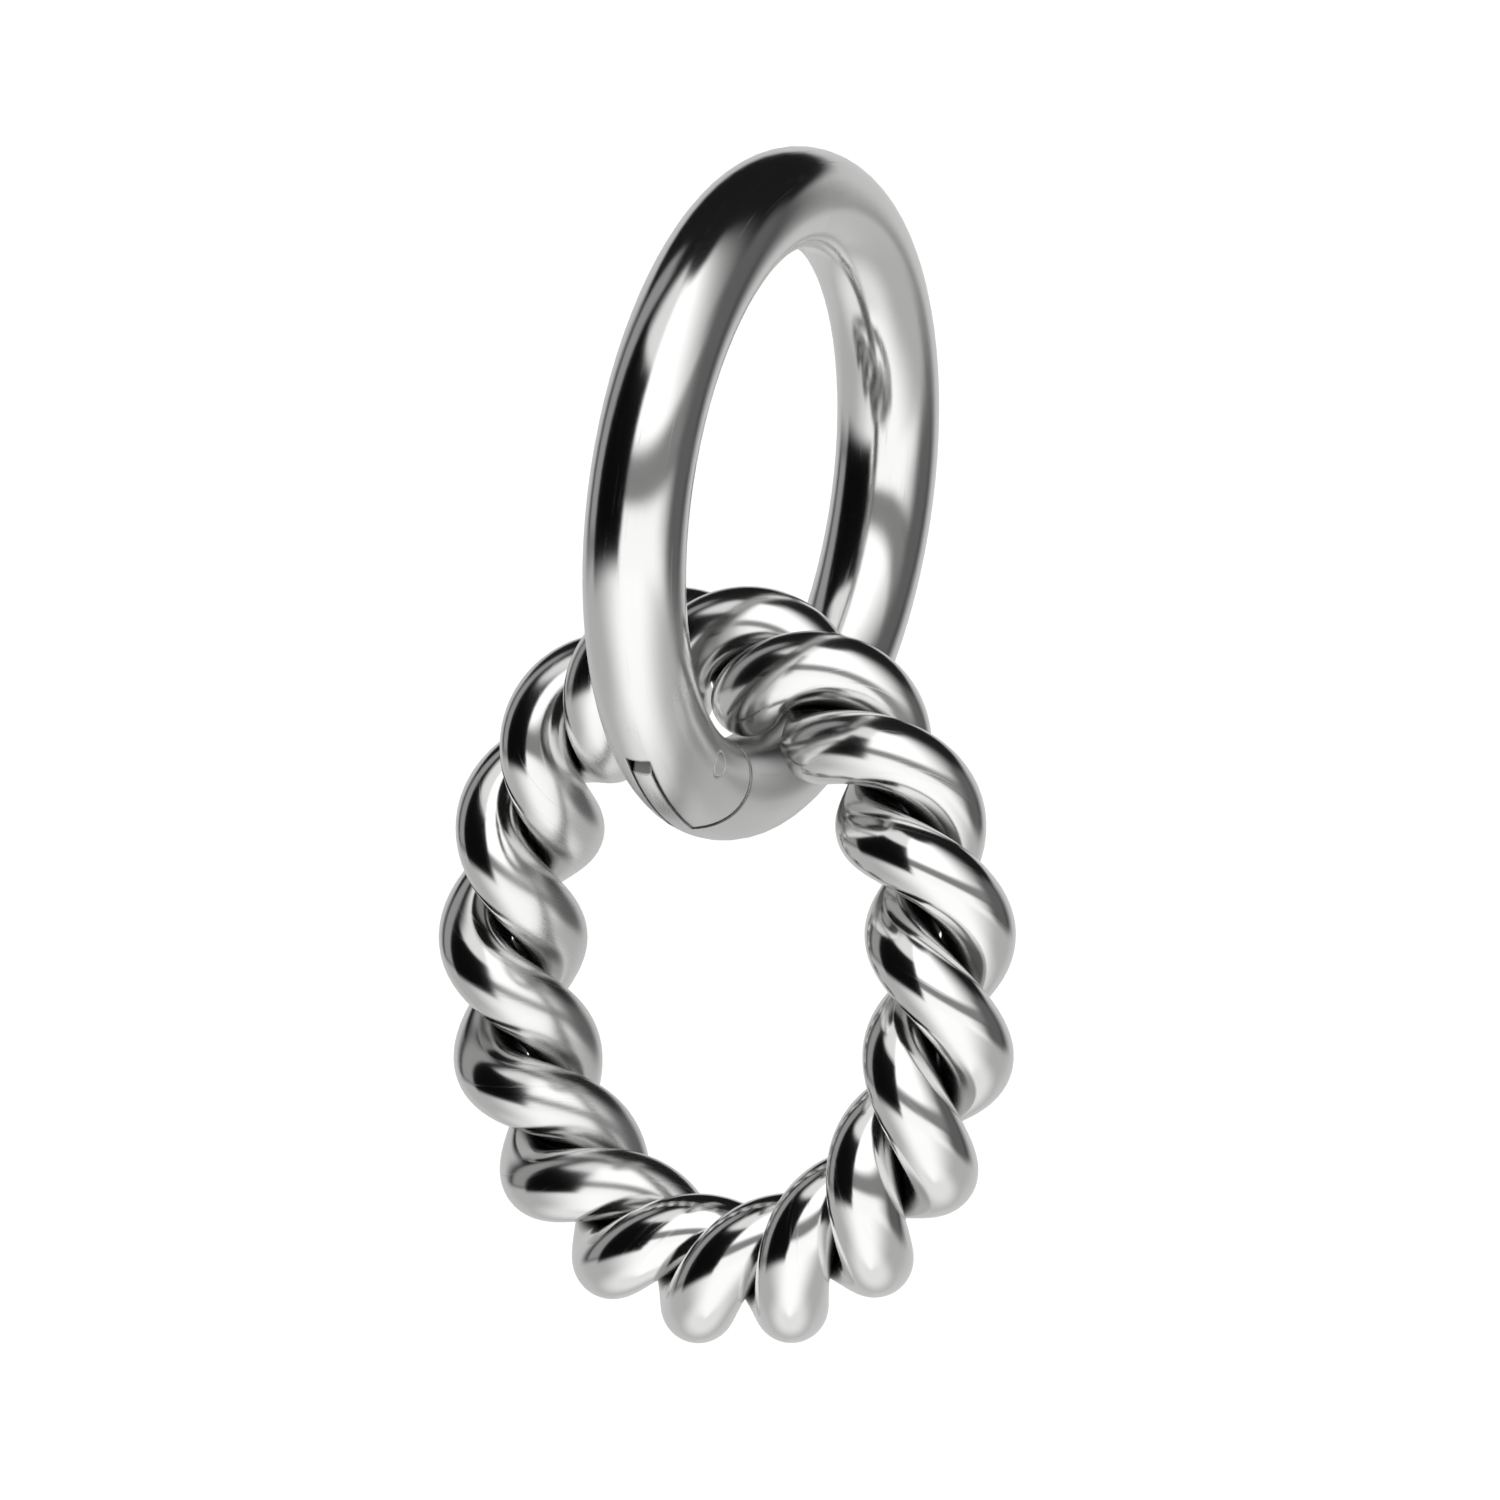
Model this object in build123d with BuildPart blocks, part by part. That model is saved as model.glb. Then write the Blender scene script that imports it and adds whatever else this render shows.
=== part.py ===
from build123d import *
from math import cos, hypot, pi, radians, sin
import os

# Twisted hoop earring: a round-wire hoop with a hinged opening segment, and a ring of
# two-strand twisted wire that hangs on the bottom of the hoop.
# Millimetres. Z is up. The origin is the middle of the wire at the top of the hoop, where the
# hoop hangs in the ear lobe. The hoop stands in the YZ plane, its hinge towards -Y.
# Angles round the hoop are counted from its lowest point towards +Y.

# Hoop wire
wire_diameter = 2.5
hoop_inside_diameter = 12.0

# Opening segment
pin_angle = -34.0
catch_angle = 40.0
seam_gap = 0.12

# Hinge
pin_diameter = 0.6
pin_press_clearance = 0.01
pin_running_clearance = 0.02
tongue_width = 0.5
tongue_side_clearance = 0.06
tongue_past_wire_radius = 0.5
cheek_past_wire_radius = 0.65
heel_round_angle = 60.0
slot_past_tongue = 0.1

# Catch blade on the free end of the opening segment
blade_length = 0.7
blade_width = 0.5
blade_below_centre = 0.45
blade_clearance = 0.04

# Twisted ring
ring_centreline_diameter = 15.1
strand_diameter = 1.8
strand_gap = 0.06
turns_per_lap = 8
twist_start_angle = -5.0
ring_turn_angle = 21.3
seat_gap = 0.05
points_per_turn = 12
pieces_per_strand = 4

# Sizes worked out from the ones above
wire_radius = wire_diameter / 2
hoop_radius = hoop_inside_diameter / 2 + wire_radius
tongue_reach = wire_radius + tongue_past_wire_radius
cheek_reach = wire_radius + cheek_past_wire_radius
ring_radius = ring_centreline_diameter / 2
strand_radius = strand_diameter / 2
strand_offset = strand_radius + strand_gap / 2

hoop_plane = Plane(origin=(0, 0, -hoop_radius), x_dir=(0, 1, 0), z_dir=(1, 0, 0))
hoop_axis = Axis((0, 0, -hoop_radius), (1, 0, 0))


# A point of the hoop's plane, as across and up from the hoop's centre. It is given by an angle
# round the hoop, and by how far it lies along the wire and outwards from the wire's centre.
def hoop_point(angle, along, outward):
    a = radians(angle)
    across = along * cos(a) + (hoop_radius + outward) * sin(a)
    up = along * sin(a) - (hoop_radius + outward) * cos(a)
    return across, up


# The outline, in the hoop's plane, of the opening segment without its tongue and blade.
# At the hinge it is flat inside the pin and rounded about the pin outside it, so the cheeks
# stop the segment when it is closed and let it swing outwards. The gap moves both ends in.
def segment_outline(gap):
    past_wire = 2 * wire_radius
    reach = cheek_reach + gap
    round_angle = radians(heel_round_angle)
    arc_middle = (reach * cos(round_angle / 2), reach * sin(round_angle / 2))
    arc_end = (reach * cos(round_angle), reach * sin(round_angle))
    with BuildLine() as outline:
        Line(hoop_point(pin_angle, reach, -past_wire), hoop_point(pin_angle, reach, 0))
        ThreePointArc(
            hoop_point(pin_angle, reach, 0),
            hoop_point(pin_angle, *arc_middle),
            hoop_point(pin_angle, *arc_end),
        )
        Polyline(
            hoop_point(pin_angle, *arc_end),
            hoop_point(pin_angle, cheek_reach, past_wire),
            hoop_point((pin_angle + catch_angle) / 2, 0, 2 * past_wire),
            hoop_point(catch_angle, -gap, past_wire),
            hoop_point(catch_angle, -gap, -past_wire),
            hoop_point(pin_angle, reach, -past_wire),
        )
    return outline.line


# The outline of the hinge slot in the hoop: right through the wire, from the seam to past the
# round end of the tongue.
def slot_outline():
    back = -(tongue_reach + slot_past_tongue)
    front = 2 * cheek_reach
    past_wire = 2 * wire_radius
    with BuildLine() as outline:
        Polyline(
            hoop_point(pin_angle, back, -past_wire),
            hoop_point(pin_angle, front, -past_wire),
            hoop_point(pin_angle, front, past_wire),
            hoop_point(pin_angle, back, past_wire),
            close=True,
        )
    return outline.line


# The outline of the tongue, before the wire's round trims it. Its end is rounded about the pin,
# so that it turns in the slot, and it reaches into the segment.
def tongue_outline():
    front = 2 * cheek_reach
    round_top = hoop_point(pin_angle, 0, tongue_reach)
    round_end = hoop_point(pin_angle, -tongue_reach, 0)
    round_bottom = hoop_point(pin_angle, 0, -tongue_reach)
    past_wire = 2 * wire_radius
    with BuildLine() as outline:
        ThreePointArc(round_top, round_end, round_bottom)
        Polyline(
            round_bottom,
            hoop_point(pin_angle, 0, -past_wire),
            hoop_point(pin_angle, front, -past_wire),
            hoop_point(pin_angle, front, past_wire),
            hoop_point(pin_angle, 0, past_wire),
            round_top,
        )
    return outline.line


# The outline of the catch blade or, with a clearance, of the recess that it closes into from
# outside.
def blade_outline(clearance):
    past_wire = 2 * wire_radius
    end = blade_length + clearance
    low = -(blade_below_centre + clearance)
    with BuildLine() as outline:
        Polyline(
            hoop_point(catch_angle, -wire_radius, low),
            hoop_point(catch_angle, end, low),
            hoop_point(catch_angle, end, past_wire),
            hoop_point(catch_angle, -wire_radius, past_wire),
            close=True,
        )
    return outline.line


# Hoop body: the wire ring, without the opening segment, with the hinge slot, the pin's hole
# through both cheeks and the recess for the catch blade
with BuildPart() as hoop_body:
    with BuildSketch(Plane.XZ):
        Circle(wire_radius)
    revolve(axis=hoop_axis)
    with BuildSketch(hoop_plane):
        make_face(segment_outline(0))
    extrude(amount=wire_diameter, both=True, mode=Mode.SUBTRACT)
    with BuildSketch(hoop_plane):
        make_face(slot_outline())
    extrude(amount=tongue_width / 2 + tongue_side_clearance, both=True, mode=Mode.SUBTRACT)
    with BuildSketch(hoop_plane):
        make_face(blade_outline(blade_clearance))
    extrude(amount=blade_width / 2 + blade_clearance, both=True, mode=Mode.SUBTRACT)
    with BuildSketch(hoop_plane):
        with Locations(hoop_point(pin_angle, 0, 0)):
            Circle(pin_diameter / 2 + pin_press_clearance)
    extrude(amount=wire_diameter, both=True, mode=Mode.SUBTRACT)
hoop_body.part.label = "hoop_body"


# Hoop gate: the opening segment, of the same wire, with the hinge tongue at one end and the
# catch blade at the other
with BuildPart() as hoop_gate:
    with BuildSketch(hoop_plane):
        make_face(segment_outline(seam_gap))
    extrude(amount=wire_diameter, both=True)
    with BuildSketch(hoop_plane):
        make_face(tongue_outline())
    extrude(amount=tongue_width / 2, both=True)
    with BuildSketch(hoop_plane):
        make_face(blade_outline(0))
    extrude(amount=blade_width / 2, both=True)
    with BuildSketch(hoop_plane):
        with Locations(hoop_point(pin_angle, 0, 0)):
            Circle(pin_diameter / 2 + pin_running_clearance)
    extrude(amount=wire_diameter, both=True, mode=Mode.SUBTRACT)
    with BuildSketch(Plane.XZ):
        Circle(wire_radius)
    revolve(axis=hoop_axis, mode=Mode.INTERSECT)
hoop_gate.part.label = "hoop_gate"


# Hinge pin: held in both cheeks, its ends finished flush with the wire
with BuildPart() as hinge_pin:
    with BuildSketch(hoop_plane):
        with Locations(hoop_point(pin_angle, 0, 0)):
            Circle(pin_diameter / 2)
    extrude(amount=wire_diameter, both=True)
    with BuildSketch(Plane.XZ):
        Circle(wire_radius)
    revolve(axis=hoop_axis, mode=Mode.INTERSECT)
hinge_pin.part.label = "hinge_pin"


# A point on the centre line of one strand. The angle runs from the ring's top towards its +X
# side. The strand winds about the ring's own centre line, outwards and then towards +Y.
def strand_point(angle, phase, drop):
    wind = radians(twist_start_angle + phase) + turns_per_lap * angle
    radius = ring_radius + strand_offset * cos(wind)
    sideways = strand_offset * sin(wind)
    turn = radians(ring_turn_angle)
    x = radius * sin(angle) * cos(turn) + sideways * sin(turn)
    y = sideways * cos(turn) - radius * sin(angle) * sin(turn)
    z = radius * cos(angle) - hoop_radius - drop
    return x, y, z


# The smallest gap between the strands and the hoop's wire when the ring's centre hangs that
# far below the hoop's centre. Only the ring's upper part comes near the wire.
def gap_on_wire(drop):
    widest = radians(60)
    steps = 240
    gaps = []
    for phase in (0, 180):
        for step in range(steps + 1):
            angle = widest * (2 * step / steps - 1)
            x, y, z = strand_point(angle, phase, drop)
            from_centreline = hypot(hypot(y, z + hoop_radius) - hoop_radius, x)
            gaps.append(from_centreline - wire_radius - strand_radius)
    return min(gaps)


# How far the twisted ring's centre hangs below the hoop's centre: it is let down until its
# strands are one seat gap clear of the wire that carries it
def hanging_drop():
    high = ring_radius
    low = ring_radius + hoop_radius
    halvings = 30
    for halving in range(halvings):
        middle = (high + low) / 2
        if gap_on_wire(middle) > seat_gap:
            high = middle
        else:
            low = middle
    return high


ring_drop = hanging_drop()
strand_phases = {"strand_a": 0, "strand_b": 180}
strands = {}

# Twisted ring: two closed strands of round wire, wound about each other. Each is swept in
# pieces of the same length that join face to face.
for name, phase in strand_phases.items():
    count = points_per_turn * turns_per_lap
    route = [strand_point(2 * pi * k / count, phase, ring_drop) for k in range(count)]
    with BuildLine() as centre_line:
        Spline(*route, periodic=True)
    with BuildPart() as strand:
        for piece in range(pieces_per_strand):
            start = piece / pieces_per_strand
            end = (piece + 1) / pieces_per_strand
            run = centre_line.edge().trim(start, end)
            with BuildSketch(Plane(origin=run @ 0, z_dir=run % 0)):
                Circle(strand_radius)
            sweep(path=run, is_frenet=True)
    strand.part.label = name
    strands[name] = strand

os.makedirs("parts", exist_ok=True)
export_step(hoop_body.part, "parts/hoop_body.step")
export_step(hoop_gate.part, "parts/hoop_gate.step")
export_step(hinge_pin.part, "parts/hinge_pin.step")
for name, strand in strands.items():
    export_step(strand.part, f"parts/{name}.step")
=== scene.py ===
from math import cos, pi, radians, sin

import bpy
import numpy as np
from mathutils import Matrix, Vector


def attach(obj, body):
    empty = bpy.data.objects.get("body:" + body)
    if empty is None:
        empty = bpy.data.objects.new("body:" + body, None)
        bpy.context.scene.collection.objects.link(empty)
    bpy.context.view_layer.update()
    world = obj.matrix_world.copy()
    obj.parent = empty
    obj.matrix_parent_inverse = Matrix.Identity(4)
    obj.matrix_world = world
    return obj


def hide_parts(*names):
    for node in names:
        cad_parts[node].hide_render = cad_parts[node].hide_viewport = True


# Twisted hoop earring in polished steel: a hinged hoop with a ring of two-strand twisted wire.
# Lengths in the dictionaries are millimetres and angles are degrees. The frame is in metres.
# A pair of values says where an effect starts to fade in and where it is full.
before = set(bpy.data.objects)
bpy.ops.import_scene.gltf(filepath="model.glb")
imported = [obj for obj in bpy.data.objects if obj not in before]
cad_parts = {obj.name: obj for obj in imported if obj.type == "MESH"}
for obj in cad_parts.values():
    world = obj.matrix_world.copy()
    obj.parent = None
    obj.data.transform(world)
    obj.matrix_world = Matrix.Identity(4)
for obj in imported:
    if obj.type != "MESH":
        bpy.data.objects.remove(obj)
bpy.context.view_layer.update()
scene = bpy.context.scene
mm = 0.001
toMillimetres = (1 / mm, 1 / mm, 1 / mm)
print("frame loaded, CAD nodes:", ", ".join(sorted(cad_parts)))


def toLinear(hexColour):
    # sRGB hex to the linear values that Cycles works in
    parts = [int(hexColour[k:k + 2], 16) / 255 for k in (1, 3, 5)]
    linear = [c / 12.92 if c <= 0.04045 else ((c + 0.055) / 1.055) ** 2.4 for c in parts]
    return (*linear, 1.0)


def addNode(tree, kind, settings=None, links=None):
    # One node: settings are its properties or, where it has none of that name, its inputs.
    # A mix node's two values are its inputs 2 and 3 for numbers, 4 and 5 for vectors, and 6 and 7
    # for colours.
    node = tree.nodes.new(kind)
    for name, value in (settings or {}).items():
        if isinstance(name, str) and hasattr(node, name):
            setattr(node, name, value)
        else:
            node.inputs[name].default_value = value
    for name, socket in (links or {}).items():
        tree.links.new(socket, node.inputs[name])
    return node


# Camera at the photograph's angle, from in front and a little above, with a slight tilt
cameraLook = {
    "azimuth": 24.1,            # round from the hinge's side, -Y, towards +X
    "elevation": 9.85,
    "roll": 4.4,
    "lens": 600.0,              # a long lens, as the photograph has next to no perspective
    "sensorWidth": 36.0,
    "clip": (10.0, 5000.0),
    "frameHeight": 36.5,        # what the picture takes in from top to bottom
    "aim": (0.1, 0.2, -13.6),
}
turn, lift = radians(cameraLook["azimuth"]), radians(cameraLook["elevation"])
towardsCamera = Vector((sin(turn) * cos(lift), -cos(turn) * cos(lift), sin(lift)))
cameraData = bpy.data.cameras.new("studioCamera")
cameraData.lens = cameraLook["lens"]
cameraData.sensor_width = cameraLook["sensorWidth"]
cameraData.clip_start, cameraData.clip_end = (mm * reach for reach in cameraLook["clip"])
camera = bpy.data.objects.new("studioCamera", cameraData)
scene.collection.objects.link(camera)
cameraDistance = cameraLook["frameHeight"] * mm * cameraLook["lens"] / cameraLook["sensorWidth"]
camera.rotation_mode = "QUATERNION"
camera.rotation_quaternion = (
    (-towardsCamera).to_track_quat("-Z", "Y")
    @ Matrix.Rotation(radians(cameraLook["roll"]), 4, "Z").to_quaternion()
)
camera.location = Vector(cameraLook["aim"]) * mm + towardsCamera * cameraDistance
scene.camera = camera
scene.view_settings.view_transform = "Standard"
print("camera placed")


# Floor, a plain pale board that the object hangs above
floorLook = {
    "below": 60.0,              # how far under the hoop's top the floor lies
    "size": 6000.0,
    "colour": "#F4F4F3", "mottleColour": "#F7F7F6",
    "mottlesPerMetre": 6.0, "mottleDetail": 2.0,
    "roughness": 0.9, "specular": 0.2,
}
half = floorLook["size"] * mm / 2
corners = [(-half, -half, 0), (half, -half, 0), (half, half, 0), (-half, half, 0)]
floorMesh = bpy.data.meshes.new("floor")
floorMesh.from_pydata(corners, [], [(0, 1, 2, 3)])
floor = bpy.data.objects.new("floor", floorMesh)
floor.location.z = -floorLook["below"] * mm
scene.collection.objects.link(floor)
floor.visible_glossy = False        # the polished wire mirrors the studio's panels instead

# Matt painted board: even, with the faintest mottle, so it stays a plain pale ground.
floorPaint = bpy.data.materials.new("mattPaintedBoard")
floorPaint.use_nodes = True
tree = floorPaint.node_tree
shader = tree.nodes["Principled BSDF"]
shader.inputs["Roughness"].default_value = floorLook["roughness"]
shader.inputs["Specular IOR Level"].default_value = floorLook["specular"]
place = addNode(tree, "ShaderNodeTexCoord")
mottle = addNode(
    tree, "ShaderNodeTexNoise",
    {"Scale": floorLook["mottlesPerMetre"], "Detail": floorLook["mottleDetail"]},
    {"Vector": place.outputs["Object"]},
)
paint = addNode(
    tree, "ShaderNodeMix",
    {"data_type": "RGBA", 6: toLinear(floorLook["colour"]), 7: toLinear(floorLook["mottleColour"])},
    {"Factor": mottle.outputs["Fac"]},
)
tree.links.new(paint.outputs[2], shader.inputs["Base Color"])
floorMesh.materials.append(floorPaint)

# The studio round the object, as panels given by how far round from the camera they lie and how
# high, each with the softness of its left, right, lower and upper edge. Later ones lie on top.
studio = {
    "whiteTable": {"round": (-181, 181), "height": (-91, -8), "soft": (1, 1, 1, 10), "light": 0.55},
    "underfoot": {"round": (-181, 181), "height": (-91, -42), "soft": (1, 1, 1, 30), "light": 1.0},
    "tableFront": {"round": (-96, 86), "height": (-91, -6), "soft": (78, 74, 1, 8), "light": 1.35},
    "sweepLeft": {"round": (-181, -126), "height": (-50, 24), "soft": (1, 20, 12, 8), "light": 0.62},
    "sweepRight": {"round": (112, 181), "height": (-50, 24), "soft": (34, 1, 12, 8), "light": 0.66},
    "farLeft": {"round": (-130, -100), "height": (-14, 62), "soft": (8, 6, 6, 14), "light": 0.36},
    "upperLeft": {"round": (-96, -20), "height": (40, 80), "soft": (26, 4, 6, 8), "light": 0.95},
    "frontGlow": {"round": (-34, 96), "height": (-24, 5), "soft": (3, 62, 8, 8), "light": 1.3},
    "horizon": {"round": (-34, 122), "height": (-1, 26), "soft": (3, 24, 7, 6), "light": 0.27},
    "softbox": {"round": (-33, 112), "height": (13, 80), "soft": (3, 96, 10, 8), "light": 1.5},
    "rightWall": {"round": (66, 124), "height": (-22, 34), "soft": (26, 16, 12, 12), "light": 0.14},
    "blackFlag": {"round": (-106, -34), "height": (-24, 46), "soft": (5, 3, 10, 10), "light": 0.004},
}
studioBase = 0.012                  # the dark room above and between the panels
backdropLight = 1.05                # what the camera sees past the floor
world = bpy.data.worlds.new("studio")
scene.world = world
world.use_nodes = True
tree = world.node_tree
tree.nodes.clear()
place = addNode(tree, "ShaderNodeTexCoord")
facing = addNode(
    tree, "ShaderNodeVectorRotate",
    {"rotation_type": "Z_AXIS", "Angle": -turn}, {"Vector": place.outputs["Generated"]},
)
axes = addNode(tree, "ShaderNodeSeparateXYZ", None, {0: facing.outputs[0]})
behind = addNode(tree, "ShaderNodeMath", {"operation": "MULTIPLY", 1: -1.0}, {0: axes.outputs["Y"]})
roundAngle = addNode(
    tree, "ShaderNodeMath", {"operation": "ARCTAN2"}, {0: axes.outputs["X"], 1: behind.outputs[0]}
)
heightAngle = addNode(tree, "ShaderNodeMath", {"operation": "ARCSINE"}, {0: axes.outputs["Z"]})
level = None
for panel in studio.values():
    mask = None
    edges = (
        (roundAngle, panel["round"][0], panel["soft"][0]),
        (roundAngle, panel["round"][1], -panel["soft"][1]),
        (heightAngle, panel["height"][0], panel["soft"][2]),
        (heightAngle, panel["height"][1], -panel["soft"][3]),
    )
    for angle, edge, inwards in edges:
        side = addNode(
            tree, "ShaderNodeMapRange",
            {"interpolation_type": "SMOOTHSTEP",
             "From Min": radians(edge), "From Max": radians(edge + inwards)},
            {"Value": angle.outputs[0]},
        )
        if mask is None:
            mask = side.outputs["Result"]
        else:
            both = addNode(
                tree, "ShaderNodeMath", {"operation": "MULTIPLY"},
                {0: mask, 1: side.outputs["Result"]},
            )
            mask = both.outputs[0]
    layer = addNode(
        tree, "ShaderNodeMix", {"data_type": "FLOAT", 2: studioBase, 3: panel["light"]},
        {"Factor": mask},
    )
    if level is not None:
        tree.links.new(level, layer.inputs[2])
    level = layer.outputs[0]
seen = addNode(tree, "ShaderNodeLightPath")
shown = addNode(
    tree, "ShaderNodeMix", {"data_type": "FLOAT", 3: backdropLight},
    {"Factor": seen.outputs["Is Camera Ray"], 2: level},
)
glow = addNode(
    tree, "ShaderNodeBackground", {"Color": toLinear("#FFFFFF")}, {"Strength": shown.outputs[0]}
)
addNode(tree, "ShaderNodeOutputWorld", None, {"Surface": glow.outputs[0]})

# A wide overhead light for the floor: the wire doesn't mirror it.
floorLight = {"strength": 2.35, "angle": 70.0}
lampData = bpy.data.lights.new("overhead", "SUN")
lampData.energy = floorLight["strength"]
lampData.angle = radians(floorLight["angle"])
lamp = bpy.data.objects.new("overhead", lampData)
lamp.visible_glossy = False
scene.collection.objects.link(lamp)
print("floor and studio light made")


# What the polished 316L surgical steel of all the pieces has in common. The lines run along the
# wire. Real ones are some 0.01 mm apart and are drawn coarser here, so that they show.
steelFinish = {
    "bright": "#E4E4E3", "dull": "#DBDBDA",
    "lineSpacing": 0.09, "lineDetail": 3.0, "lineGrain": 0.6,
    "lineRoughness": 0.045, "lineDepth": 0.00018,
    "hazeDetail": 2.0, "hazeRoughness": 0.04,
    "scratchSlants": (34, -52), "scratchSeeds": (3.0, 11.0), "scratchDetail": 1.0,
    "scratchWidth": 0.07, "scratchLength": 2.2, "scratchFade": (0.7, 0.75),
    "scratchRoughness": 0.10, "scratchDepth": 0.0003,
    "waveSize": 1.6, "waveDepth": 0.0012,
}
bevelSamples = 6


def finishNodes(tree, look, wirePlace, wornShare, dullSteelAndShadeShare):
    # wirePlace is a point in mm: across the wire in X and Y, along it in Z. The two shares say
    # where the polish is softer from rubbing, and where the steel is less polished and darker,
    # partly as painted shade.
    links = tree.links
    shader = tree.nodes["Principled BSDF"]
    shader.inputs["Metallic"].default_value = 1.0

    # Polishing lines along the wire
    drawn = addNode(
        tree, "ShaderNodeMapping",
        {"Scale": (1 / look["lineSpacing"], 1 / look["lineSpacing"], 1 / look["lineLength"])},
        {"Vector": wirePlace},
    )
    lines = addNode(
        tree, "ShaderNodeTexNoise",
        {"Scale": 1.0, "Detail": look["lineDetail"], "Roughness": look["lineGrain"]},
        {"Vector": drawn.outputs[0]},
    )
    # Hairline scratches from wear, at two slants to the wire
    scratches = None
    for slant, seed in zip(look["scratchSlants"], look["scratchSeeds"]):
        tilted = addNode(
            tree, "ShaderNodeMapping",
            {"Location": (seed, seed, seed), "Rotation": (radians(slant), radians(slant / 2), 0),
             "Scale": (1 / look["scratchWidth"], 1 / look["scratchWidth"],
                       1 / look["scratchLength"])},
            {"Vector": wirePlace},
        )
        grain = addNode(
            tree, "ShaderNodeTexNoise", {"Scale": 1.0, "Detail": look["scratchDetail"]},
            {"Vector": tilted.outputs[0]},
        )
        cut = addNode(
            tree, "ShaderNodeMapRange",
            {"interpolation_type": "SMOOTHSTEP",
             "From Min": look["scratchFade"][0], "From Max": look["scratchFade"][1]},
            {"Value": grain.outputs["Fac"]},
        )
        if scratches is None:
            scratches = cut.outputs["Result"]
        else:
            both = addNode(
                tree, "ShaderNodeMath", {"operation": "MAXIMUM"},
                {0: scratches, 1: cut.outputs["Result"]},
            )
            scratches = both.outputs[0]
    # Haze of handling, in soft patches
    haze = addNode(
        tree, "ShaderNodeTexNoise", {"Scale": 1 / look["hazeSize"], "Detail": look["hazeDetail"]},
        {"Vector": wirePlace},
    )

    # Roughness: the polish, then lines, haze, scratches, rubbed and unpolished places
    rough = addNode(
        tree, "ShaderNodeMath",
        {"operation": "MULTIPLY_ADD", 1: look["lineRoughness"], 2: look["polish"]},
        {0: lines.outputs["Fac"]},
    )
    for source, amount in (
        (haze.outputs["Fac"], look["hazeRoughness"]),
        (scratches, look["scratchRoughness"]),
        (wornShare, look["wornRoughness"]),
        (dullSteelAndShadeShare, look["hiddenRoughness"]),
    ):
        rough = addNode(
            tree, "ShaderNodeMath", {"operation": "MULTIPLY_ADD", 1: amount},
            {0: source, 2: rough.outputs[0]},
        )
    links.new(rough.outputs[0], shader.inputs["Roughness"])

    # Colour: bright steel, duller in the haze, darker where polish is missing and as painted shade
    dull = addNode(
        tree, "ShaderNodeMix",
        {"data_type": "RGBA", 6: toLinear(look["bright"]), 7: toLinear(look["dull"])},
        {"Factor": haze.outputs["Fac"]},
    )
    tint = addNode(
        tree, "ShaderNodeMix", {"data_type": "RGBA", 7: toLinear(look["dullSteelAndShade"])},
        {"Factor": dullSteelAndShadeShare, 6: dull.outputs[2]},
    )
    links.new(tint.outputs[2], shader.inputs["Base Color"])

    # Relief: rounded edges, the wire's slight waviness, the lines and the scratches
    wave = addNode(
        tree, "ShaderNodeTexNoise", {"Scale": 1 / look["waveSize"], "Detail": 0.0},
        {"Vector": wirePlace},
    )
    edge = addNode(
        tree, "ShaderNodeBevel", {"samples": bevelSamples, "Radius": look["edgeRounding"] * mm}
    )
    relief = edge.outputs[0]
    for source, depth, invert in (
        (wave.outputs["Fac"], look["waveDepth"], False),
        (lines.outputs["Fac"], look["lineDepth"], False),
        (scratches, look["scratchDepth"], True),
    ):
        bump = addNode(
            tree, "ShaderNodeBump", {"invert": invert, "Strength": 1.0, "Distance": depth * mm},
            {"Height": source, "Normal": relief},
        )
        relief = bump.outputs[0]
    links.new(relief, shader.inputs["Normal"])


# Hoop, opening segment and pin: the CAD nodes stay, and get their steel here.
hoop = {"ringRadius": 7.25, "wireRadius": 1.25, "pinPlace": (0, -4.054, -6.011)}
# 316L surgical steel, drawn round wire, mirror polished on a cotton mop: near white highlights
# with clean, slightly soft reflections, and faint lines that follow the wire.
hoopFinish = dict(
    steelFinish, polish=0.09, lineLength=4.0, hazeSize=2.6, edgeRounding=0.11,
    wornRoughness=0.19,
    rubbedMiddle=-20.0,             # round the hoop from its bottom, towards the hinge
    rubbedAngles=(66.0, 26.0),      # from that middle
    rubbedSide=(1.7, 1.0),          # outwards from the wire's centre
    # Colour of the duller milled steel of the cut faces, also used as painted shade deep in the
    # hinge's slot and along the seams
    dullSteelAndShade="#3E3D3C", hiddenRoughness=0.26,
    cutDepth=(0.015, 0.045),        # under the wire's round, where a face counts as cut
    cutDarkness=0.45,
    rimWidth=0.07, seamShadeDarkness=0.9,
    rimTurn=(0.99, 0.86),           # cosine between the rounded and the real surface
    pinClear=(0.4, 0.5),            # from the pin's axis, where the dark rims start again
    slotHalfWidth=0.33, slotReach=2.1,
)


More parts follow.
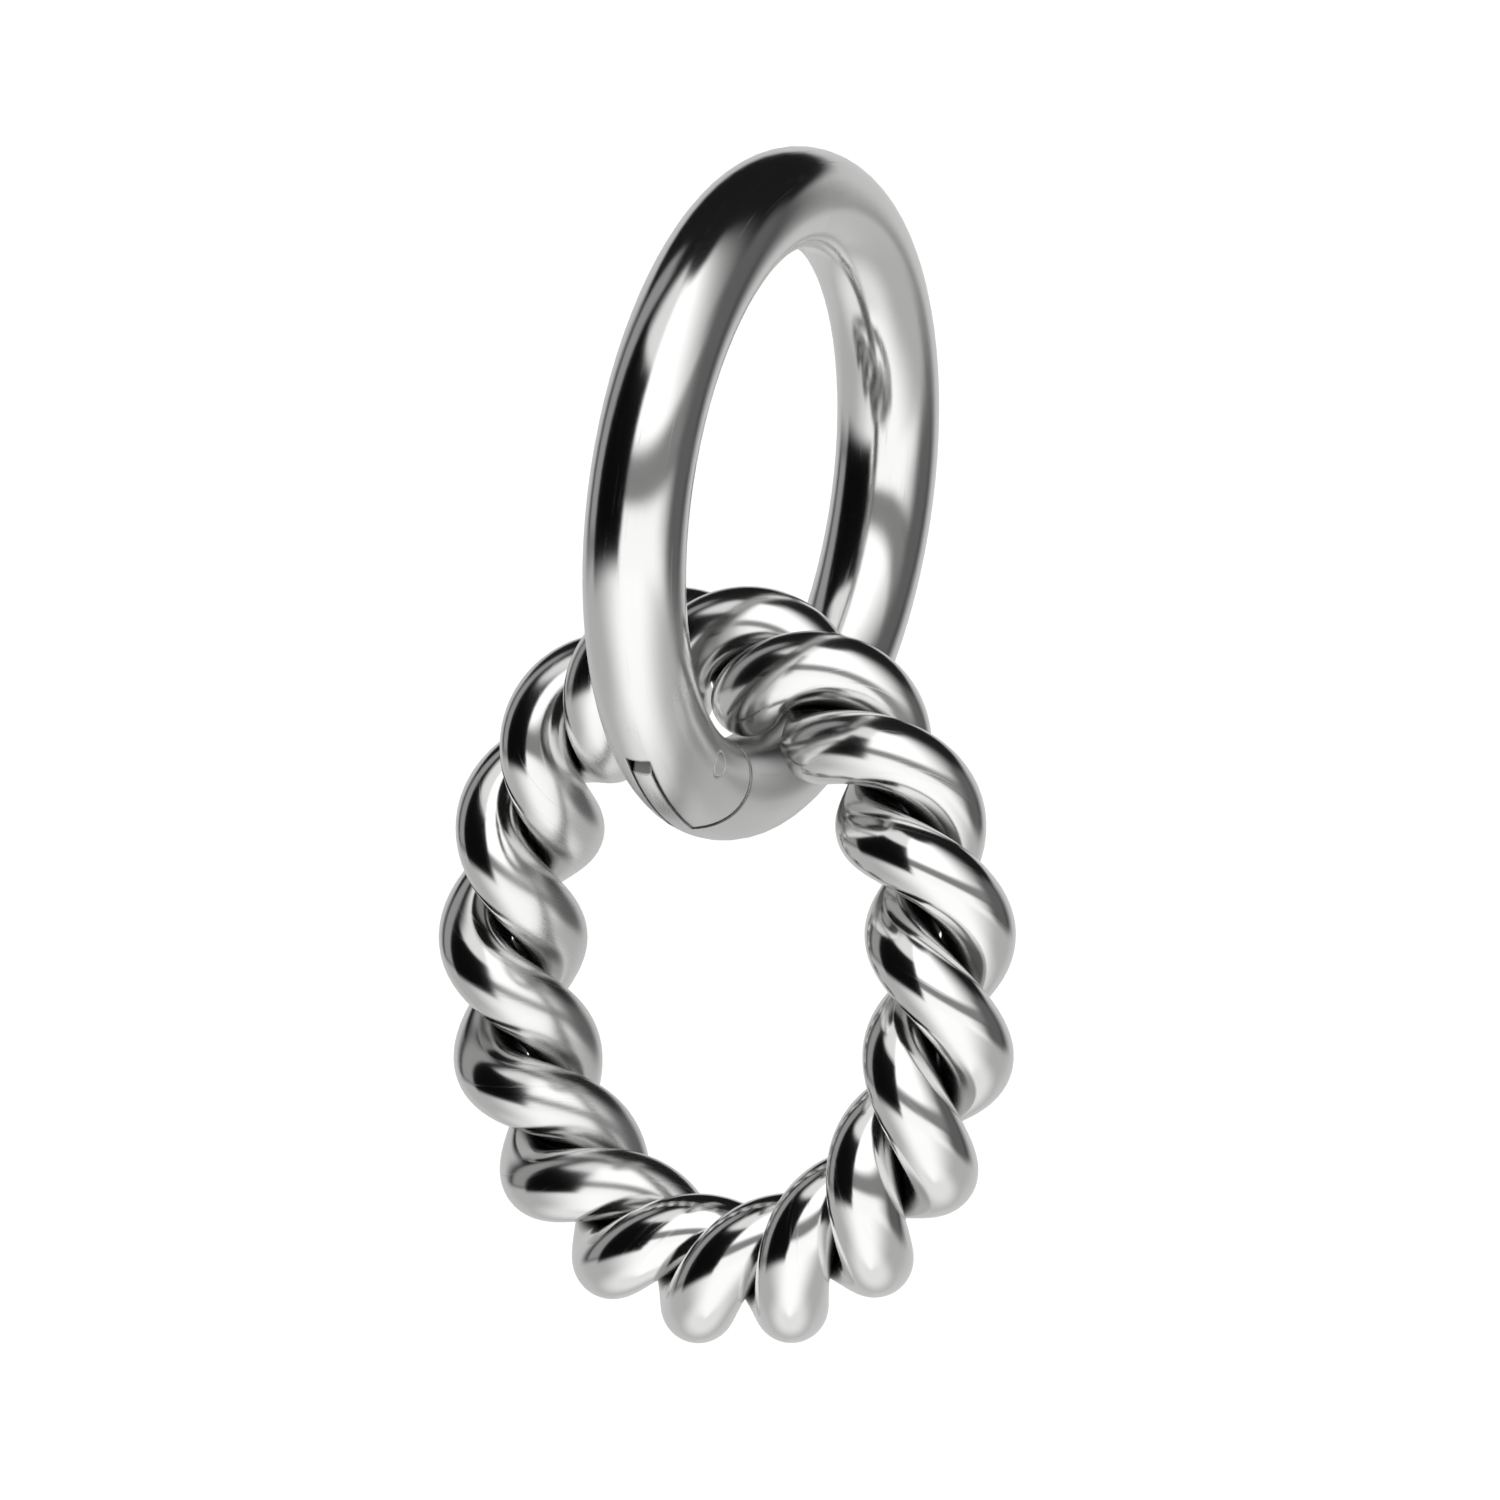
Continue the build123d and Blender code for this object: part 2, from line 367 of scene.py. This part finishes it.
def hoopSteel(name, look):
    material = bpy.data.materials.new(name)
    material.use_nodes = True
    tree = material.node_tree
    place = addNode(tree, "ShaderNodeTexCoord")
    point = addNode(
        tree, "ShaderNodeMapping",
        {"Scale": toMillimetres, "Location": (0, 0, hoop["ringRadius"])},
        {"Vector": place.outputs["Object"]},
    )
    axes = addNode(tree, "ShaderNodeSeparateXYZ", None, {0: point.outputs[0]})
    flat = addNode(
        tree, "ShaderNodeCombineXYZ", None, {"Y": axes.outputs["Y"], "Z": axes.outputs["Z"]}
    )
    reach = addNode(tree, "ShaderNodeVectorMath", {"operation": "LENGTH"}, {0: flat.outputs[0]})
    outward = addNode(
        tree, "ShaderNodeMath", {"operation": "SUBTRACT", 1: hoop["ringRadius"]},
        {0: reach.outputs["Value"]},
    )
    down = addNode(
        tree, "ShaderNodeMath", {"operation": "MULTIPLY", 1: -1.0}, {0: axes.outputs["Z"]}
    )
    angle = addNode(
        tree, "ShaderNodeMath", {"operation": "ARCTAN2"}, {0: axes.outputs["Y"], 1: down.outputs[0]}
    )
    along = addNode(
        tree, "ShaderNodeMath", {"operation": "MULTIPLY", 1: hoop["ringRadius"]},
        {0: angle.outputs[0]},
    )
    wirePlace = addNode(
        tree, "ShaderNodeCombineXYZ", None,
        {"X": axes.outputs["X"], "Y": outward.outputs[0], "Z": along.outputs[0]},
    )
    # Cut faces of the hinge and catch lie inside the wire's round: milled, never mopped.
    section = addNode(
        tree, "ShaderNodeCombineXYZ", None, {"X": axes.outputs["X"], "Y": outward.outputs[0]}
    )
    depth = addNode(tree, "ShaderNodeVectorMath", {"operation": "LENGTH"}, {0: section.outputs[0]})
    dullSteelAndShade = addNode(
        tree, "ShaderNodeMapRange",
        {"interpolation_type": "SMOOTHSTEP",
         "From Min": hoop["wireRadius"] - look["cutDepth"][0],
         "From Max": hoop["wireRadius"] - look["cutDepth"][1]},
        {"Value": depth.outputs["Value"]},
    )
    # Painted shade: a thin rim along the seams is painted darker and made rougher. The pin is flush
    # and has none.
    rim = addNode(
        tree, "ShaderNodeBevel", {"samples": bevelSamples, "Radius": look["rimWidth"] * mm}
    )
    surface = addNode(tree, "ShaderNodeNewGeometry")
    alike = addNode(
        tree, "ShaderNodeVectorMath", {"operation": "DOT_PRODUCT"},
        {0: rim.outputs[0], 1: surface.outputs["Normal"]},
    )
    atRim = addNode(
        tree, "ShaderNodeMapRange",
        {"interpolation_type": "SMOOTHSTEP", "From Min": look["rimTurn"][0],
         "From Max": look["rimTurn"][1], "To Max": look["seamShadeDarkness"]},
        {"Value": alike.outputs["Value"]},
    )
    fromPin = addNode(
        tree, "ShaderNodeVectorMath", {"operation": "DISTANCE", 1: hoop["pinPlace"]},
        {0: flat.outputs[0]},
    )
    clearOfPin = addNode(
        tree, "ShaderNodeMapRange",
        {"interpolation_type": "SMOOTHSTEP",
         "From Min": look["pinClear"][0], "From Max": look["pinClear"][1]},
        {"Value": fromPin.outputs["Value"]},
    )
    seamShade = addNode(
        tree, "ShaderNodeMath", {"operation": "MULTIPLY"},
        {0: atRim.outputs["Result"], 1: clearOfPin.outputs["Result"]},
    )
    # Deep in the hinge's narrow slot the cut faces are painted darkest, as painted shade; the other
    # cut faces are clean grey steel.
    fromMiddle = addNode(
        tree, "ShaderNodeMath", {"operation": "ABSOLUTE"}, {0: axes.outputs["X"]}
    )
    narrow = addNode(
        tree, "ShaderNodeMath", {"operation": "LESS_THAN", 1: look["slotHalfWidth"]},
        {0: fromMiddle.outputs[0]},
    )
    nearPin = addNode(
        tree, "ShaderNodeMath", {"operation": "LESS_THAN", 1: look["slotReach"]},
        {0: fromPin.outputs["Value"]},
    )
    inSlot = addNode(
        tree, "ShaderNodeMath", {"operation": "MULTIPLY"},
        {0: narrow.outputs[0], 1: nearPin.outputs[0]},
    )
    darkness = addNode(
        tree, "ShaderNodeMapRange", {"To Min": look["cutDarkness"], "To Max": 1.0},
        {"Value": inSlot.outputs[0]},
    )
    cut = addNode(
        tree, "ShaderNodeMath", {"operation": "MULTIPLY"},
        {0: dullSteelAndShade.outputs["Result"], 1: darkness.outputs["Result"]},
    )
    cutAndSeamShade = addNode(
        tree, "ShaderNodeMath", {"operation": "MAXIMUM"}, {0: seamShade.outputs[0], 1: cut.outputs[0]}
    )
    # The twisted ring rubs the inside of the hoop at its lowest part, more on the hinge's side.
    middle = addNode(
        tree, "ShaderNodeMath", {"operation": "SUBTRACT", 1: radians(look["rubbedMiddle"])},
        {0: angle.outputs[0]},
    )
    bottom = addNode(tree, "ShaderNodeMath", {"operation": "ABSOLUTE"}, {0: middle.outputs[0]})
    low = addNode(
        tree, "ShaderNodeMapRange",
        {"interpolation_type": "SMOOTHSTEP", "From Min": radians(look["rubbedAngles"][0]),
         "From Max": radians(look["rubbedAngles"][1])},
        {"Value": bottom.outputs[0]},
    )
    inner = addNode(
        tree, "ShaderNodeMapRange",
        {"interpolation_type": "SMOOTHSTEP",
         "From Min": look["rubbedSide"][0], "From Max": look["rubbedSide"][1]},
        {"Value": outward.outputs[0]},
    )
    worn = addNode(
        tree, "ShaderNodeMath", {"operation": "MULTIPLY"},
        {0: low.outputs["Result"], 1: inner.outputs["Result"]},
    )
    finishNodes(tree, look, wirePlace.outputs[0], worn.outputs[0], cutAndSeamShade.outputs[0])
    return material


# Which faces count as the wire's round: near enough to its surface, and facing outwards by the
# cosine given
roundFaces = {"depth": 0.02, "facing": 0.97}


def trueRound(name):
    # A modifier's nodes that shade faces on the wire's round by the exact round, so that a mirror
    # finish shows no joint between the faces. Every point stays where it is.
    tree = bpy.data.node_groups.new(name, "GeometryNodeTree")
    tree.interface.new_socket("Mesh", in_out="INPUT", socket_type="NodeSocketGeometry")
    tree.interface.new_socket("Mesh", in_out="OUTPUT", socket_type="NodeSocketGeometry")
    start = addNode(tree, "NodeGroupInput")
    place = addNode(tree, "GeometryNodeInputPosition")
    centred = addNode(
        tree, "ShaderNodeVectorMath", {"operation": "ADD", 1: (0, 0, hoop["ringRadius"] * mm)},
        {0: place.outputs[0]},
    )
    flat = addNode(
        tree, "ShaderNodeVectorMath", {"operation": "MULTIPLY", 1: (0, 1, 1)},
        {0: centred.outputs[0]},
    )
    spoke = addNode(tree, "ShaderNodeVectorMath", {"operation": "NORMALIZE"}, {0: flat.outputs[0]})
    core = addNode(
        tree, "ShaderNodeVectorMath", {"operation": "SCALE", "Scale": hoop["ringRadius"] * mm},
        {0: spoke.outputs[0]},
    )
    away = addNode(
        tree, "ShaderNodeVectorMath", {"operation": "SUBTRACT"},
        {0: centred.outputs[0], 1: core.outputs[0]},
    )
    outward = addNode(
        tree, "ShaderNodeVectorMath", {"operation": "NORMALIZE"}, {0: away.outputs[0]}
    )
    normal = addNode(tree, "GeometryNodeInputNormal")
    facing = addNode(
        tree, "ShaderNodeVectorMath", {"operation": "DOT_PRODUCT"},
        {0: normal.outputs["True Normal"], 1: outward.outputs[0]},
    )
    depth = addNode(tree, "ShaderNodeVectorMath", {"operation": "LENGTH"}, {0: away.outputs[0]})
    atSurface = addNode(
        tree, "ShaderNodeMath",
        {"operation": "GREATER_THAN", 1: (hoop["wireRadius"] - roundFaces["depth"]) * mm},
        {0: depth.outputs["Value"]},
    )
    aligned = addNode(
        tree, "ShaderNodeMath", {"operation": "GREATER_THAN", 1: roundFaces["facing"]},
        {0: facing.outputs["Value"]},
    )
    both = addNode(
        tree, "ShaderNodeMath", {"operation": "MULTIPLY"},
        {0: atSurface.outputs[0], 1: aligned.outputs[0]},
    )
    onRound = addNode(
        tree, "GeometryNodeFieldOnDomain", {"domain": "FACE", "data_type": "FLOAT"},
        {0: both.outputs[0]},
    )
    chosen = addNode(
        tree, "ShaderNodeMix", {"data_type": "VECTOR"},
        {"Factor": onRound.outputs[0], 4: normal.outputs["Normal"], 5: outward.outputs[0]},
    )
    shaded = addNode(
        tree, "GeometryNodeSetMeshNormal", {"mode": "FREE", "domain": "CORNER"},
        {"Mesh": start.outputs[0], "Custom Normal": chosen.outputs[1]},
    )
    addNode(tree, "NodeGroupOutput", None, {0: shaded.outputs[0]})
    return tree


hoopMaterial = hoopSteel("polishedSurgicalSteelHoop", hoopFinish)
hoopShading = trueRound("trueRoundOfWire")
# The opening segment is the same steel, without the painted shade of the hinge's slot on its tongue.
gateFinish = dict(hoopFinish, slotHalfWidth=0.0)
gateMaterial = hoopSteel("polishedSurgicalSteelGate", gateFinish)
# The same steel for the pin, ground flush and lightly mopped: its ends are a touch softer.
pinFinish = dict(hoopFinish, polish=0.11, lineRoughness=0.05, bright="#D9D9D8")
pinMaterial = hoopSteel("groundSurgicalSteelPin", pinFinish)
for nodeName, material in (
    ("hoop_body", hoopMaterial), ("hoop_gate", gateMaterial), ("hinge_pin", pinMaterial)
):
    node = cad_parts[nodeName]
    node.data.materials.clear()
    node.data.materials.append(material)
    node.modifiers.new("trueRound", "NODES").node_group = hoopShading
print("hoop, gate and pin finished")


# Twisted ring: two strands of round wire wound about each other. It hangs below the hoop's
# centre by its drop, and has this many points along each strand and around it.
twist = {
    "ringRadius": 7.55, "strandRadius": 0.9, "strandOffset": 0.93, "turns": 8,
    "startAngle": -5.0, "ringTurn": 21.3, "drop": 11.671,
    "along": 768, "around": 40,
}
halfTurn = 180
# 316L surgical steel wire, twisted and then tumble polished: mirror bright on the crowns, with a
# less polished line deep between the strands, painted darker there as shade.
twistFinish = dict(
    steelFinish, polish=0.085, lineLength=3.0, hazeSize=2.0, edgeRounding=0.01,
    wornRoughness=0.14,
    topHeights=(4.4, 6.4), topShare=0.36,       # above the ring's centre
    innerReach=(7.25, 6.2),                     # from the ring's centre
    innerSide=(-0.5, -3.0),                     # sideways from the ring's centre
    # The valley between the strands: its colour is painted shade, and it is rougher and less
    # polished.
    dullSteelAndShade="#4E4E4D", hiddenRoughness=0.30,
    shadedSide=(-0.25, -0.7),                   # from the strand's centre, away from the other
)


def strandCentre(angle, phase):
    # arrays of points of one strand's centre line, in mm, for angles from the ring's top
    wind = radians(twist["startAngle"] + phase) + twist["turns"] * angle
    radius = twist["ringRadius"] + twist["strandOffset"] * np.cos(wind)
    sideways = twist["strandOffset"] * np.sin(wind)
    turned = radians(twist["ringTurn"])
    return np.stack([
        radius * np.sin(angle) * cos(turned) + sideways * sin(turned),
        sideways * cos(turned) - radius * np.sin(angle) * sin(turned),
        radius * np.cos(angle) - hoop["ringRadius"] - twist["drop"],
    ], axis=1)


def unit(vectors):
    return vectors / np.linalg.norm(vectors, axis=1)[:, None]


def makeStrand(name, phase):
    count, sides = twist["along"], twist["around"]
    angle = np.arange(count) * 2 * pi / count
    centre = strandCentre(angle, phase)
    small = 1e-4                # radians each way, for the direction of the wire
    tangent = unit(strandCentre(angle + small, phase) - strandCentre(angle - small, phase))
    away = strandCentre(angle, phase) - strandCentre(angle, phase + halfTurn)
    away = unit(away - (away * tangent).sum(axis=1)[:, None] * tangent)
    across = np.cross(tangent, away)
    section = np.arange(sides) * 2 * pi / sides
    ring = (
        away[:, None] * np.cos(section)[None, :, None]
        + across[:, None] * np.sin(section)[None, :, None]
    )
    points = (centre[:, None] + twist["strandRadius"] * ring) * mm
    rows, columns = np.meshgrid(np.arange(count), np.arange(sides), indexing="ij")
    nextRow, nextColumn = (rows + 1) % count, (columns + 1) % sides
    faces = np.stack([
        rows * sides + columns, nextRow * sides + columns,
        nextRow * sides + nextColumn, rows * sides + nextColumn,
    ], axis=-1).reshape(-1, 4)
    mesh = bpy.data.meshes.new(name)
    mesh.from_pydata(points.reshape(-1, 3).tolist(), [], faces.tolist())
    mesh.shade_smooth()
    # where each corner lies on the wire: across it in X and Y, along it in Z, in mm
    lengths = np.linalg.norm(np.roll(centre, -1, axis=0) - centre, axis=1)
    along = np.concatenate([[0.0], np.cumsum(lengths)])
    place = np.zeros((count, sides, 4, 3), np.float32)
    for corner, (rowStep, columnStep) in enumerate(((0, 0), (1, 0), (1, 1), (0, 1))):
        turned = (columns + columnStep) * 2 * pi / sides
        place[:, :, corner, 0] = twist["strandRadius"] * np.cos(turned)
        place[:, :, corner, 1] = twist["strandRadius"] * np.sin(turned)
        place[:, :, corner, 2] = along[rows + rowStep]
    wirePlace = mesh.attributes.new("wirePlace", "FLOAT_VECTOR", "CORNER")
    wirePlace.data.foreach_set("vector", place.ravel())
    strand = bpy.data.objects.new(name, mesh)
    scene.collection.objects.link(strand)
    return strand


def strandSteel(name, look):
    material = bpy.data.materials.new(name)
    material.use_nodes = True
    tree = material.node_tree
    wirePlace = addNode(tree, "ShaderNodeAttribute", {"attribute_name": "wirePlace"})
    axes = addNode(tree, "ShaderNodeSeparateXYZ", None, {0: wirePlace.outputs["Vector"]})
    # The side that faces the other strand, where the polish can't reach and painted shade darkens
    # the valley
    dullSteelAndShade = addNode(
        tree, "ShaderNodeMapRange",
        {"interpolation_type": "SMOOTHSTEP",
         "From Min": look["shadedSide"][0], "From Max": look["shadedSide"][1]},
        {"Value": axes.outputs["X"]},
    )
    # The point in the ring's own plane, in mm from its centre
    place = addNode(tree, "ShaderNodeTexCoord")
    inRing = addNode(
        tree, "ShaderNodeMapping",
        {"Scale": toMillimetres, "Rotation": (0, 0, radians(twist["ringTurn"])),
         "Location": (0, 0, hoop["ringRadius"] + twist["drop"])},
        {"Vector": place.outputs["Object"]},
    )
    ringAxes = addNode(tree, "ShaderNodeSeparateXYZ", None, {0: inRing.outputs[0]})
    # The ring's top is rubbed a little, where it hangs on the hoop.
    top = addNode(
        tree, "ShaderNodeMapRange",
        {"interpolation_type": "SMOOTHSTEP", "From Min": look["topHeights"][0],
         "From Max": look["topHeights"][1], "To Max": look["topShare"]},
        {"Value": ringAxes.outputs["Z"]},
    )
    # The inside of the ring's further half is softer than the rest.
    flat = addNode(
        tree, "ShaderNodeCombineXYZ", None,
        {"X": ringAxes.outputs["X"], "Z": ringAxes.outputs["Z"]},
    )
    reach = addNode(tree, "ShaderNodeVectorMath", {"operation": "LENGTH"}, {0: flat.outputs[0]})
    inner = addNode(
        tree, "ShaderNodeMapRange",
        {"interpolation_type": "SMOOTHSTEP",
         "From Min": look["innerReach"][0], "From Max": look["innerReach"][1]},
        {"Value": reach.outputs["Value"]},
    )
    side = addNode(
        tree, "ShaderNodeMapRange",
        {"interpolation_type": "SMOOTHSTEP",
         "From Min": look["innerSide"][0], "From Max": look["innerSide"][1]},
        {"Value": ringAxes.outputs["X"]},
    )
    soft = addNode(
        tree, "ShaderNodeMath", {"operation": "MULTIPLY"},
        {0: inner.outputs["Result"], 1: side.outputs["Result"]},
    )
    worn = addNode(
        tree, "ShaderNodeMath", {"operation": "MAXIMUM"},
        {0: top.outputs["Result"], 1: soft.outputs[0]},
    )
    finishNodes(tree, look, wirePlace.outputs["Vector"], worn.outputs[0], dullSteelAndShade.outputs["Result"])
    return material


strandMaterial = strandSteel("tumbledSurgicalSteelTwist", twistFinish)
strandPieces = (("strand_a", "twistedStrandA", 0), ("strand_b", "twistedStrandB", halfTurn))
for nodeName, pieceName, phase in strandPieces:
    strand = makeStrand(pieceName, phase)
    strand.data.materials.append(strandMaterial)
    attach(strand, "twisted_ring")
    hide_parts(nodeName)
print("twisted ring made")
